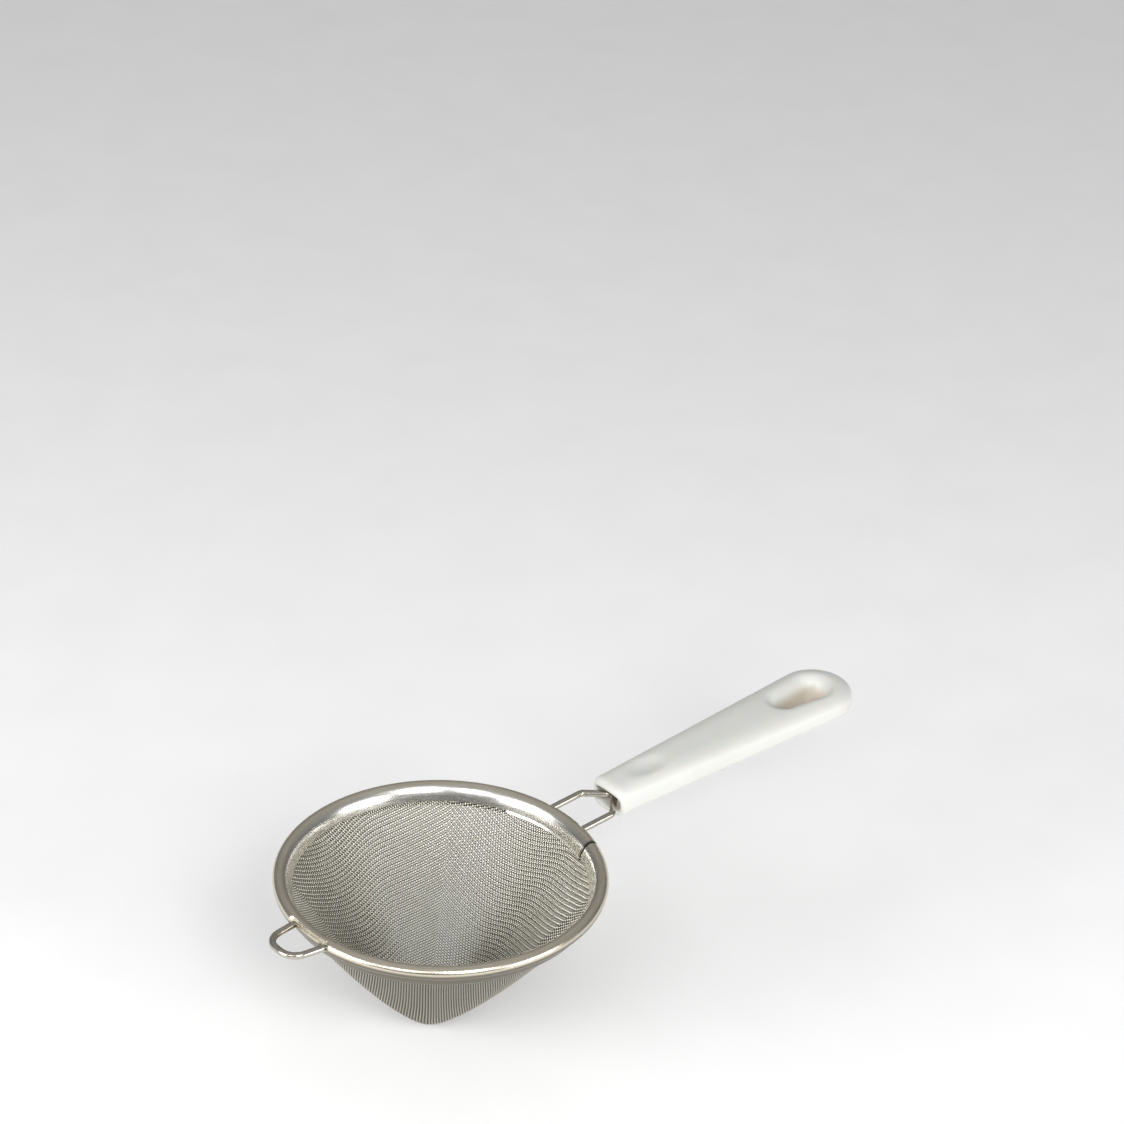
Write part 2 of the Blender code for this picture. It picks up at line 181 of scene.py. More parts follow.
class Shader:
    """A Principled material with small helpers for its procedural inputs."""

    def __init__(self, name, **fixed):
        self.material = bpy.data.materials.new(name)
        self.material.use_nodes = True
        self.tree = self.material.node_tree
        self.surface = self.tree.nodes["Principled BSDF"]
        for socket, value in fixed.items():
            self.surface.inputs[socket.replace("_", " ")].default_value = value
        self.place = self.node("ShaderNodeTexCoord").outputs["Object"]

    def node(self, kind, **settings):
        made = self.tree.nodes.new(kind)
        for key, value in settings.items():
            setattr(made, key, value)
        return made

    def link(self, source, target):
        self.tree.links.new(source, target)

    def maths(self, operation, a, b=None):
        made = self.node("ShaderNodeMath", operation=operation)
        for socket, value in zip(made.inputs, (a, b)):
            if value is None:
                continue
            if isinstance(value, (int, float)):
                socket.default_value = value
            else:
                self.link(value, socket)
        return made.outputs[0]

    def noise(self, vector, scale, detail=3.0):
        made = self.node("ShaderNodeTexNoise")
        self.link(vector, made.inputs["Vector"])
        made.inputs["Scale"].default_value = scale
        made.inputs["Detail"].default_value = detail
        made.inputs["Roughness"].default_value = NOISE_ROUGHNESS
        return made.outputs["Fac"]

    def spread(self, value, low, high, start=0.3, stop=0.7):
        """Maps a value from start..stop to low..high."""
        made = self.node("ShaderNodeMapRange")
        self.link(value, made.inputs["Value"])
        for socket, number in (("From Min", start), ("From Max", stop),
                               ("To Min", low), ("To Max", high)):
            made.inputs[socket].default_value = number
        return made.outputs["Result"]

    def painted(self, name):
        """The number that tint() stored at the mesh's points."""
        return self.node("ShaderNodeAttribute", attribute_name=name).outputs["Fac"]

    def mix(self, factor, a, b):
        made = self.node("ShaderNodeMix", data_type="RGBA")
        self.link(factor, made.inputs["Factor"])
        for socket, value in ((made.inputs[6], a), (made.inputs[7], b)):
            if isinstance(value, tuple):
                socket.default_value = (*value, 1.0)
            else:
                self.link(value, socket)
        return made.outputs[2]

    def around_rim(self, pace=0.02):
        """Coordinates that run across the strip at full pace and round the rim slowly."""
        parts = self.node("ShaderNodeSeparateXYZ")
        self.link(self.place, parts.inputs[0])
        x, y, z = parts.outputs
        radius = self.maths("SQRT", self.maths("ADD", self.maths("MULTIPLY", x, x),
                                               self.maths("MULTIPLY", y, y)))
        turn = self.maths("MULTIPLY", self.maths("ARCTAN2", y, x), RIM_RADIUS * MM)
        made = self.node("ShaderNodeCombineXYZ")
        self.link(radius, made.inputs[0])
        self.link(self.maths("MULTIPLY", turn, pace), made.inputs[1])
        self.link(z, made.inputs[2])
        return made.outputs[0]

    def bump(self, height, strength, distance):
        made = self.node("ShaderNodeBump")
        self.link(height, made.inputs["Height"])
        made.inputs["Strength"].default_value = strength
        made.inputs["Distance"].default_value = distance
        self.link(made.outputs[0], self.surface.inputs["Normal"])

    def set(self, socket, source):
        self.link(source, self.surface.inputs[socket])


def rim_steel():
    """Rolled stainless strip with fine lines round the rim: brownish on the bead, with a painted
    sheen of lighter, neutral tone on the inner leg, and painted shade below the bead, in the seam
    and at the loop's wires."""
    steel = Shader("rim_steel", Metallic=1.0)
    lines = steel.noise(steel.around_rim(), 9000, detail=2)
    streaks = steel.noise(steel.around_rim(pace=0.05), 2500, detail=3)
    cloud = steel.noise(steel.place, 90, detail=3)
    colour = steel.mix(steel.spread(streaks, 0, 1), (0.68, 0.62, 0.495), (0.78, 0.735, 0.635))
    colour = steel.mix(steel.spread(cloud, 0, 0.5), colour, (0.63, 0.565, 0.435))
    # painted sheen: the inner leg gets a lighter, neutral tone that stands in for its white
    # reflections
    colour = steel.mix(steel.painted("painted_leg_sheen"), colour, (0.70, 0.685, 0.645))
    # painted shade: dark below the bead, in the seam's step and in the gaps beside the loop's
    # wires
    steel.set("Base Color", steel.mix(steel.painted("painted_shade"), colour, (0.13, 0.118, 0.09)))
    steel.set("Roughness", steel.spread(streaks, 0.20, 0.28))
    steel.bump(lines, 0.006, 0.00001)
    return steel.material


def wire_steel():
    """Bright drawn wire with faint mottling from the pickling and welding."""
    steel = Shader("wire_steel", Metallic=1.0)
    mottle = steel.noise(steel.place, 700, detail=4)
    fine = steel.noise(steel.place, 5000, detail=2)
    colour = steel.mix(steel.spread(mottle, 0, 1), (0.43, 0.40, 0.34), (0.52, 0.49, 0.435))
    steel.set("Base Color", colour)
    steel.set("Roughness", steel.spread(fine, 0.15, 0.24))
    steel.bump(mottle, 0.08, 0.00003)
    return steel.material


def cloth_steel():
    """Fine drawn wire of the woven cloth, with painted light on its crowns and painted shade
    between the wires and outside the cone.
    """
    steel = Shader("cloth_steel", Metallic=1.0)
    patch = steel.noise(steel.place, 160, detail=3)
    fine = steel.noise(steel.place, 6000, detail=1)
    painted_crown_light = steel.spread(steel.painted("painted_crown_light"), 0, 1, 0.34, 0.80)
    colour = steel.mix(steel.spread(patch, 0, 1), (0.90, 0.87, 0.745), (0.96, 0.935, 0.835))
    # painted light and shade: dark where a wire dips towards the cloth's middle, bright on its
    # crowns
    colour = steel.mix(painted_crown_light, (0.13, 0.125, 0.105), colour)
    steel.set("Base Color", colour)
    steel.set("Roughness", steel.spread(fine, 0.40, 0.52))
    return steel.material


def grip_plastic():
    """Satin white moulded plastic with a faint moulding texture, and warm painted shade in its
    recesses.
    """
    plastic = Shader("grip_plastic", Metallic=0.0, Subsurface_Weight=0.12,
                     Subsurface_Scale=0.004, IOR=1.49)
    flow = plastic.noise(plastic.place, 60, detail=3)
    grain = plastic.noise(plastic.place, 3500, detail=3)
    colour = plastic.mix(plastic.spread(flow, 0, 1), (0.675, 0.682, 0.643), (0.712, 0.718, 0.684))
    # painted shade in the slot and the mouth
    colour = plastic.mix(plastic.painted("painted_recess_shade"), colour, (0.58, 0.525, 0.44))
    plastic.set("Base Color", colour)
    plastic.set("Roughness", plastic.spread(grain, 0.34, 0.46))
    plastic.bump(grain, 0.12, 0.00005)
    return plastic.material


# ---- rim band ------------------------------------------------------------------------------

STRIP = 0.3                                         # thickness of the strip
LEG_START = math.radians(125)                       # where the bead turns into the leg
LEG_LEAN = (math.radians(55), math.radians(15))     # of the leg's top and foot, from the vertical
LEG_FOOT = (35.5, -2.2)                             # radius and height
LEG_STEPS, BEAD_STEPS, SKIRT_STEPS = 8, 24, 6
BEAD_FOLD = math.radians(-100)                      # where the bead turns into the skirt
SKIRT_RADIUS = 36.9
SKIRT_DEPTH = -above(rim_low.z)
SKIRT_TRIM = 0.5                                    # the photo's skirt is this much shorter
LAP_START = math.radians(-20)                       # the strip's outer end
LAP_END = math.radians(24) + 2 * math.pi            # its inner end, a full turn on
SEAM = LAP_START + 2 * math.pi                      # where it passes under its outer end
JOGGLE = math.radians(0.6)                          # the strip steps inwards just before its seam
TUCK = STRIP + 0.03                                 # how far it steps
TONGUE_REACH = 0.95                                 # how far the tucked end shows below the leg
TONGUE_WAY = (-0.60, -0.80)                         # it runs down the inside of the cloth
TONGUE_CORNER = math.radians(0.75)                  # half the width of its rounded corner
SHORTEST_TOE = 0.02                                 # keeps the outline's points apart
WIRE_RADIUS = (loop_high.z - loop_low.z) / MM / 2
LOOP_HALF_WIDTH = (loop_high.y - loop_low.y) / MM / 2 - WIRE_RADIUS
LOOP_Z = above((loop_high.z + loop_low.z) / 2)
TANG_HALF_WIDTH = (tang_high.y - tang_low.y) / MM / 2 - WIRE_RADIUS
FLAT_DEPTH, FLAT_HALF_WIDTH = 0.6, 6.8              # of the flat on the bead at the loop
DIMPLE_DEPTH, DIMPLE_REACH = 0.55, (0.85, 1.75)     # of the weld dimple at each wire
SEAM_STEP, ROOT_STEP, RIM_STEP = (math.radians(a) for a in (0.1, 0.4, 1.6))
ROOT_SPAN = math.radians(13)                        # stations are close this far from a wire
CAP_POINTS = 3                                      # on each rounded edge of the strip
UNDER_SHADE = 0.9                                   # how dark the painted shade below the bead is
GAP_INSET = 1.1                                     # from a loop wire's middle to the painted shadow in its gap
LEG_SIDE = 36.6                                     # the leg is inside this radius


def strip_path(tuck, reach):
    """Mid-line of the strip, as (radius, height): toe, leg, bead and skirt."""
    radius = BEAD_RADIUS - STRIP / 2 - tuck
    turns = np.linspace(LEG_START, BEAD_FOLD, BEAD_STEPS)
    bead = np.stack([BEAD_CENTRE + radius * np.cos(turns), radius * np.sin(turns)], 1)
    foot = np.array([LEG_FOOT[0] + tuck, LEG_FOOT[1]])
    top_way, foot_way = (np.array([math.sin(a), math.cos(a)]) for a in LEG_LEAN)
    top_pull, _ = np.linalg.solve(np.stack([top_way, foot_way], 1), bead[0] - foot)
    bend = bead[0] - top_way * top_pull
    steps = np.linspace(0, 1, LEG_STEPS + 1)[:-1, None]
    leg = (1 - steps) ** 2 * foot + 2 * steps * (1 - steps) * bend + steps ** 2 * bead[0]
    toe = foot + np.array(TONGUE_WAY) * max(reach, SHORTEST_TOE)
    hem = np.array([SKIRT_RADIUS - tuck, -SKIRT_DEPTH + tuck + SKIRT_TRIM])
    skirt = hem + (bead[-1] - hem) * np.linspace(0, 1, SKIRT_STEPS + 1)[:-1, None]
    return np.vstack([toe, leg, bead, skirt[::-1]])


def strip_outline(tuck, reach):
    """Closed outline of the strip with rounded edges."""
    path = strip_path(tuck, reach)
    ahead = np.vstack([path[1:], path[-1:]]) - np.vstack([path[:1], path[:-1]])
    ahead /= np.linalg.norm(ahead, axis=1)[:, None]
    normal = np.stack([-ahead[:, 1], ahead[:, 0]], 1)
    left, right = path + normal * STRIP / 2, path - normal * STRIP / 2
    ends = []
    for index, side in ((-1, 1), (0, -1)):
        for step in range(1, CAP_POINTS + 1):
            a = math.pi * step / (CAP_POINTS + 1)
            ends.append(path[index] + STRIP / 2 * (
                side * normal[index] * math.cos(a) + side * ahead[index] * math.sin(a)))
    return np.vstack([left, ends[:CAP_POINTS], right[::-1], ends[CAP_POINTS:]])


def rim_angles():
    """Stations along the strip, close together at the wires' roots and at the seam."""
    angles = [LAP_START]
    while angles[-1] < LAP_END:
        at_root = any(abs(angles[-1] - spot) < ROOT_SPAN
                      for spot in (0.0, math.pi, SEAM, 2 * math.pi))
        at_edge = min(abs(angles[-1] - SEAM), abs(angles[-1] - LAP_END)) < 2 * JOGGLE
        angles.append(angles[-1] + (SEAM_STEP if at_edge else ROOT_STEP if at_root else RIM_STEP))
    angles[-1] = LAP_END
    return angles


def radius_of(verts):
    """Distance of each point from the rim's axis."""
    return np.hypot(verts[:, 0], verts[:, 1])


def dent_at_wires(verts):
    """Presses the bead flat between the loop's roots and dimples it at each wire."""
    x, y, z = verts.T
    radius = radius_of(verts)
    outside = fade(radius, BEAD_CENTRE + 0.6, BEAD_CENTRE - 0.6)
    push = FLAT_DEPTH * fade(np.abs(y), FLAT_HALF_WIDTH - 0.8, FLAT_HALF_WIDTH + 0.8) * (x < 0)
    push *= outside * fade(radius, RIM_RADIUS - 0.2, RIM_RADIUS - 1.2)
    for side, half, level in ((1, TANG_HALF_WIDTH, 0.0), (-1, LOOP_HALF_WIDTH, LOOP_Z)):
        for end in (half, -half):
            from_wire = np.hypot(y - end, z - level)
            dimple = DIMPLE_DEPTH * fade(from_wire, *DIMPLE_REACH)
            push = np.maximum(push, dimple * (x * side > 0) * outside)
    verts[:, 0] -= push * x / radius
    verts[:, 1] -= push * y / radius
    return verts


def rim_painted_shade(verts, turned):
    """Painted shade on the strip: below the bead outside, in the step of the seam and in the gaps
    at the loop.

    turned is each point's angle past the seam.
    """
    x, y, z = verts.T
    radius = radius_of(verts)
    under = UNDER_SHADE * fade(z, -0.3, 0.5) * fade(radius, LEG_SIDE, LEG_SIDE - 0.4)
    turned = (turned + math.pi) % (2 * math.pi) - math.pi
    seam = fade(np.abs(turned + JOGGLE / 2), JOGGLE / 2, JOGGLE)
    from_gap = np.hypot(np.abs(y) - LOOP_HALF_WIDTH + GAP_INSET, z - LOOP_Z - 0.1)
    gap = fade(from_gap, 0.45, 0.85) * (x < 0) * fade(radius, BEAD_CENTRE + 0.5, BEAD_CENTRE)
    return np.maximum(np.maximum(under, gap), seam)


def rim_band(finish):
    rows, turned = [], []
    for angle in rim_angles():
        tucked = float(fade(angle, SEAM, SEAM - JOGGLE))
        shown = tucked * float(fade(angle, LAP_END - TONGUE_CORNER, LAP_END + TONGUE_CORNER))
        radius, height = strip_outline(TUCK * tucked, TONGUE_REACH * shown).T
        rows.append(np.stack([radius * math.cos(angle), radius * math.sin(angle), height], 1))
        turned.append(angle - SEAM)
    around = len(rows[0])
    half = around // 2 - CAP_POINTS                 # points on each side of the strip
    faces = grid_faces(len(rows), around).tolist()
    for start, flip in ((0, 1), ((len(rows) - 1) * around, -1)):
        ring = list(range(start, start + around))
        hem_cap, toe_cap = half + CAP_POINTS, 2 * half + CAP_POINTS
        for k in range(half - 1):
            mirror = toe_cap - 1 - k
            faces.append([ring[k], ring[k + 1], ring[mirror - 1], ring[mirror]][::flip])
        faces.append(ring[half - 1:hem_cap + 1][::flip])
        faces.append([*ring[toe_cap - 1:], start][::flip])
    verts = np.concatenate(rows)
    painted_shade = rim_painted_shade(verts, np.repeat(turned, around))
    piece = add_piece("rim_band_strip", dent_at_wires(verts), faces, "rim_band",
                      finish, sharp=40)
    # painted shade, stored for the rim's material
    tint(piece, "painted_shade", painted_shade)
    # painted sheen on the inner leg
    tint(piece, "painted_leg_sheen", fade(radius_of(verts), LEG_SIDE, LEG_SIDE + 0.9))


# ---- wires ---------------------------------------------------------------------------------

ROOT = RIM_RADIUS - 1.1                             # the wires end inside the bead
LOOP_END_HALF_WIDTH = 4.7                           # the loop narrows towards its far end
LOOP_BEND = 4.3
TANG_BEND_X, TANG_MOUTH_X = 49.1, 53.9
TANG_BEND = 1.8
TANG_STRAND = 1.15                                  # half the spacing of the strands in the grip
TANG_RISE = math.radians(3.5)
TANG_END_X = along(tang_high.x) - WIRE_RADIUS - TANG_STRAND
WIRE_SIDES = 24


def strand_height(x):
    """Height of the tang, which rises away from the rim."""
    return (x - RIM_RADIUS) * math.tan(TANG_RISE)


def tang_point(x, y):
    return (x, y, strand_height(x))


def rest_loop(finish):
    far = along(loop_low.x) + WIRE_RADIUS
    corners = [(-ROOT, LOOP_HALF_WIDTH, LOOP_Z), (far, LOOP_END_HALF_WIDTH, LOOP_Z),
               (far, -LOOP_END_HALF_WIDTH, LOOP_Z), (-ROOT, -LOOP_HALF_WIDTH, LOOP_Z)]
    verts, faces = sweep(bent_path(corners, (LOOP_BEND, LOOP_BEND), spacing=0.6),
                         WIRE_RADIUS, WIRE_SIDES)
    return add_piece("rest_loop_wire", verts, faces, "rest_loop", finish, sharp=60)


def tang_wire(finish):
    half = [tang_point(ROOT, TANG_HALF_WIDTH), tang_point(TANG_BEND_X, TANG_HALF_WIDTH),
            tang_point(TANG_MOUTH_X, TANG_STRAND), tang_point(TANG_END_X, TANG_STRAND)]
    out = bent_path(half, (TANG_BEND, TANG_BEND), spacing=0.6)
    turn = [tang_point(TANG_END_X + TANG_STRAND * math.sin(a), TANG_STRAND * math.cos(a))
            for a in (math.pi * k / 12 for k in range(1, 12))]
    back = [(x, -y, z) for x, y, z in reversed(out)]
    verts, faces = sweep(out + turn + back, WIRE_RADIUS, WIRE_SIDES)
    return add_piece("tang_wire_bent", verts, faces, "tang_wire", finish, sharp=60)


# ---- woven cloth ---------------------------------------------------------------------------

PITCH = 0.70                                        # between neighbouring wires
THREAD = 0.35                                       # diameter of a wire of the cloth
THREAD_SIDES = 6
THREAD_STEPS = 2                                    # rings from one crossing to the next
CONE_RADIUS = 35.4
APEX_DEPTH = 43.0
CONE_POWER = 1.27
TIP_OFFSET = (-2.2, 0.7)                            # the tip is off the rim's axis
TIP_CLEARANCE, TIP_ROUNDING = 0.02, 0.7             # above the CAD's tip, and of the flat's edge
CLAMP = ((36.25, -2.2), (36.7, -1.2))               # the cloth's edge between leg and skirt
EDGE_MARGIN = 0.25                                  # the wires stop this far short of it
SMOOTHING = 25                                      # steps of the profile averaged together
WEAVE_TURN = math.radians(47)                       # a wire runs straight up the cone here
SECTOR = math.radians(61.2)                         # a quarter of the cone, laid flat
KINK = 0.03                                         # softness of the fold at each such line
SHEAR_FADE = (math.radians(32), math.radians(78))   # the shear fades between these ray angles
SHEAR_LEFT = 0.2                                    # to this share, before the next such line
TIP_SLANT, SLANT_ROUNDING = 0.10, 0.4               # the blunt tip's rise towards +Y -X
BLUNT_RISE = 0.5                                    # the cone has left its blunt tip here
WANDER = 0.05                                       # how far a wire strays from its line
SLOPE_PROBE = 0.2                                   # step along the profile that gives its slope
CLOTH_PARTS = 4                                     # pieces per direction of wire
OUTSIDE_SHADE = 0.70                                 # painted shade: how bright the crowns outside the cone are, against those inside


def cloth_profile():
    """Radius and height of the cloth's middle layer against the distance from the tip."""
    radius = np.linspace(0, CONE_RADIUS, 400)
    fall = APEX_DEPTH - SKIRT_DEPTH
    height = -SKIRT_DEPTH - fall * (1 - (radius / CONE_RADIUS) ** CONE_POWER)
    floor_height = np.full_like(radius, -CONE_DEPTH + THREAD + TIP_CLEARANCE)
    height = smooth_max(height + THREAD, floor_height, TIP_ROUNDING)
    radius = np.append(radius, [c[0] for c in CLAMP])
    height = np.append(height, [c[1] for c in CLAMP])
    run = np.append(0, np.cumsum(np.hypot(np.diff(radius), np.diff(height))))
    even = np.linspace(0, run[-1], 800)
    width = SMOOTHING
    out = []
    for values, mirror in ((radius, -1), (height, 1)):
        line = np.interp(even, run, values)
        tail = 2 * line[-1] - line[-2:-2 - width:-1]
        line = np.concatenate([mirror * line[width:0:-1], line, tail])
        out.append(np.convolve(line, np.ones(width) / width, "same")[width:-width])
    return even, out[0], out[1]


def net_angles():
    """How square cloth drapes on the cone: stretch along a ray, and azimuth, by ray angle."""
    ray = np.linspace(0, math.pi / 2, 721)
    soft = np.sqrt(np.sin(2 * ray) ** 2 + KINK ** 2) - KINK
    soft /= math.sqrt(1 + KINK ** 2) - KINK
    shear = soft * (SHEAR_LEFT + (1 - SHEAR_LEFT) * fade(ray, *SHEAR_FADE))
    stretch = np.sqrt(1 + math.cos(SECTOR) * shear)
    slope = np.gradient(stretch, ray)
    swing = np.sqrt(np.maximum(2 - stretch ** 2 - slope ** 2, 0.01)) / stretch
    azimuth = np.append(0, np.cumsum((swing[1:] + swing[:-1]) / 2))
    return ray, stretch, azimuth / azimuth[-1] * math.pi / 2


class Cloth:
    """The drawn cone as a map from flat cloth to space."""

    def __init__(self):
        self.run, self.radius, self.height = cloth_profile()
        self.ray, self.stretch, self.azimuth = net_angles()
        self.edge = self.run[-1]
        blunt_end = int(np.argmax(self.height > self.height[0] + BLUNT_RISE))
        self.blunt_radius = self.radius[blunt_end]

    def place(self, x, y):
        """Points, outward normals and a mask of what lies inside the cloth's edge."""
        wander = WANDER * np.sin(x / 7.1 + 1.3 * np.sin(y / 9.7))
        wander += 0.8 * WANDER * np.sin(y / 3.9 + x / 5.3)
        x, y = x + wander, y - wander
        ray = np.arctan2(y, x) % (2 * math.pi)
        quarter, part = np.divmod(ray, math.pi / 2)
        run = np.hypot(x, y) * np.interp(part, self.ray, self.stretch)
        angle = quarter * math.pi / 2 + np.interp(part, self.ray, self.azimuth) + WEAVE_TURN
        radius = np.interp(run, self.run, self.radius)
        height = np.interp(run, self.run, self.height)
        d_radius = np.interp(run + SLOPE_PROBE, self.run, self.radius) - radius
        d_height = np.interp(run + SLOPE_PROBE, self.run, self.height) - height
        length = np.maximum(np.hypot(d_radius, d_height), 1e-6)
        fall = np.clip((-height - SKIRT_DEPTH) / (CONE_DEPTH - SKIRT_DEPTH), 0, 1)
        east, north = radius * np.cos(angle), radius * np.sin(angle)
        slant = TIP_SLANT * ((north - east) / math.sqrt(2) + self.blunt_radius)
        height = smooth_max(height, self.height[0] + np.maximum(slant, 0), SLANT_ROUNDING)
        points = np.stack([east + TIP_OFFSET[0] * fall, north + TIP_OFFSET[1] * fall, height], -1)
        out, up = d_height / length, -d_radius / length
        normal = np.stack([out * np.cos(angle), out * np.sin(angle), up], -1)
        return points, normal, run < self.edge - EDGE_MARGIN


def weave_threads(cloth, lines, direction):
    """Tubes for some of the cloth's wires in one direction, over and under the others."""
    reach = int(cloth.edge / PITCH) + 1
    steps = np.arange(-reach * THREAD_STEPS, reach * THREAD_STEPS + 1) / THREAD_STEPS
    along_wire, across_wire = np.meshgrid(steps, lines + 0.5)
    x, y = (along_wire, across_wire) if direction == 0 else (across_wire, along_wire)
    centre, normal, inside = cloth.place(x * PITCH, y * PITCH)
    phase = math.pi * (along_wire - 0.5) + math.pi * (lines[:, None] + direction)
    middle, centre = centre, centre + normal * (THREAD / 2 * np.cos(phase))[..., None]
    ahead = np.gradient(centre, axis=1)
    ahead /= np.maximum(np.linalg.norm(ahead, axis=-1), 1e-9)[..., None]
    side = np.cross(ahead, normal)
    side /= np.maximum(np.linalg.norm(side, axis=-1), 1e-9)[..., None]
    over = np.cross(side, ahead)
    turn = 2 * math.pi * np.arange(THREAD_SIDES) / THREAD_SIDES
    rings = centre[:, :, None] + THREAD / 2 * (
        np.cos(turn)[:, None] * side[:, :, None] + np.sin(turn)[:, None] * over[:, :, None])
    index = np.full(inside.shape, -1)
    index[inside] = np.arange(inside.sum()) * THREAD_SIDES
    joined = inside[:, :-1] & inside[:, 1:]
    near, far = index[:, :-1][joined][:, None], index[:, 1:][joined][:, None]
    j = np.arange(THREAD_SIDES)[None, :]
    k = (j + 1) % THREAD_SIDES
    faces = np.stack([near + j, near + k, far + k, far + j], -1).reshape(-1, 4).tolist()
    padded = np.pad(inside, ((0, 0), (1, 1)))
    first = index[inside & ~padded[:, :-2]]
    last = index[inside & ~padded[:, 2:]]
    ring = np.arange(THREAD_SIDES)
    faces += (first[:, None] + ring[::-1]).tolist() + (last[:, None] + ring).tolist()
    # painted light and shade: how far each point stands from the cloth's middle, dimmer on the
    # outside of the cone
    crown_lightness = ((rings - middle[:, :, None]) * normal[:, :, None]).sum(-1) / THREAD
    crown_lightness = np.where(crown_lightness > 0, OUTSIDE_SHADE * crown_lightness, -crown_lightness)
    return rings[inside].reshape(-1, 3), faces, crown_lightness[inside].reshape(-1)


def woven_cloth(finish):
    cloth = Cloth()
    count = int(cloth.edge / PITCH)
    lines = np.arange(-count, count)
    for direction, family in enumerate(("warp", "weft")):
        for part, chosen in enumerate(np.array_split(lines, CLOTH_PARTS)):
            verts, faces, crown_lightness = weave_threads(cloth, chosen, direction)
            piece = add_piece(f"cloth_{family}_{part + 1}", verts, faces, "mesh_cone",
                              finish)
            # painted light and shade of the wires
            tint(piece, "painted_crown_light", crown_lightness)


# ---- grip ----------------------------------------------------------------------------------

GRIP_START, GRIP_END = along(grip_low.x), along(grip_high.x)
GRIP_FRONT_SIZE, GRIP_REAR_SIZE = (5.7, 4.1), (10.1, 3.5)   # half width, half height
GRIP_FRONT_Z, GRIP_REAR_Z = 1.0, 4.1
GRIP_SQUARENESS, MOUTH_SQUARENESS = 3.2, 3
GRIP_CELL = 0.42                                    # size of the grip's mesh cells
SLOT_FRONT, SLOT_REAR = (112.7, 1.95), (122.8, 3.25) # centre and radius of each end
SLOT_ROUNDING, SLOT_UNDERSIDE = 2.6, 0.4            # of its upper and lower edges
SLOT_DRAFT = 0.36                                   # how fast it widens upwards
SCOOP = ((64.6, 0.0), (7.6, 4.6, 2.0), 0.75)        # centre, half sizes and depth
MOUTH_HALF_SIZE = (4.3, 2.2)                        # the recess that the tang goes into
MOUTH_DEPTH = 4.0
SOCKET_HALF_SIZE = (2.4, 1.25)                      # the bore behind it, which holds the tang
NOSE_ROUNDING, SCOOP_ROUNDING, MOUTH_ROUNDING, SOCKET_ROUNDING = 2.2, 0.5, 0.9, 0.3
GRIP_MARGIN = (1.5, 1.5, 5.5)                       # round the grip's ends, sides and axis
SETTLE_ROUNDS, PROBE, LEAST_SLOPE = 5, 0.01, 0.05   # for moving mesh points onto the surface


def egg_distance(x, y, front, rear):
    """Distance to an outline of two circles joined by their common tangents."""
    (front_x, front_r), (rear_x, rear_r) = front, rear
    lean = math.asin((rear_r - front_r) / (rear_x - front_x))
    y = np.abs(y)
    line = (x - front_x) * -math.sin(lean) + y * math.cos(lean) - front_r
    station = (x - front_x) * math.cos(lean) + y * math.sin(lean)
    length = (rear_x - front_x) * math.cos(lean)
    near = np.hypot(x - front_x, y) - front_r
    far = np.hypot(x - rear_x, y) - rear_r
    return np.where(station < 0, near, np.where(station > length, far, line))


def grip_axis(x):
    """Height of the grip's middle."""
    return GRIP_FRONT_Z + (GRIP_REAR_Z - GRIP_FRONT_Z) * (x - GRIP_START) / (GRIP_END - GRIP_START)


def rounded_box(across, up, squareness):
    """1 on the edge of a rounded rectangle of half size 1, less inside it."""
    return (across ** squareness + up ** squareness + 1e-9) ** (1 / squareness)


def grip_field(points):
    """Negative inside the grip, zero on its surface."""
    x, y, z = points[..., 0], points[..., 1], points[..., 2]
    rear_x = GRIP_END - GRIP_REAR_SIZE[0]
    t = np.clip((x - GRIP_START) / (rear_x - GRIP_START), 0, 1)
    width, height = (a + (b - a) * t for a, b in zip(GRIP_FRONT_SIZE, GRIP_REAR_SIZE))
    across = np.where(x > rear_x, np.hypot(x - rear_x, y), np.abs(y)) / width
    up = np.abs(z - grip_axis(x)) / height
    body = (rounded_box(across, up, GRIP_SQUARENESS) - 1) * np.minimum(width, height)
    field = smooth_max(body, GRIP_START - x, NOSE_ROUNDING)
    level = z - grip_axis(x)
    rounding = SLOT_UNDERSIDE + (SLOT_ROUNDING - SLOT_UNDERSIDE) * fade(level, 1, -1)
    slot = egg_distance(x, y, SLOT_FRONT, SLOT_REAR) - SLOT_DRAFT * level
    field = smooth_max(field, -slot, rounding)
    (scoop_x, scoop_y), half, depth = SCOOP
    top = grip_axis(scoop_x) + GRIP_FRONT_SIZE[1] + half[2] - depth
    scoop = (np.sqrt(((x - scoop_x) / half[0]) ** 2 + ((y - scoop_y) / half[1]) ** 2
                     + ((z - top) / half[2]) ** 2) - 1) * half[2]
    field = smooth_max(field, -scoop, SCOOP_ROUNDING)
    y, z = np.abs(y), np.abs(z - strand_height(x))
    mouth = rounded_box(y / MOUTH_HALF_SIZE[0], z / MOUTH_HALF_SIZE[1], MOUTH_SQUARENESS) - 1
    mouth = np.maximum(mouth * MOUTH_HALF_SIZE[1], x - GRIP_START - MOUTH_DEPTH)
    field = smooth_max(field, -mouth, MOUTH_ROUNDING)
    socket = np.maximum(np.maximum(y - SOCKET_HALF_SIZE[0], z - SOCKET_HALF_SIZE[1]),
                        x - TANG_END_X - SOCKET_HALF_SIZE[0])
    return smooth_max(field, -socket, SOCKET_ROUNDING)


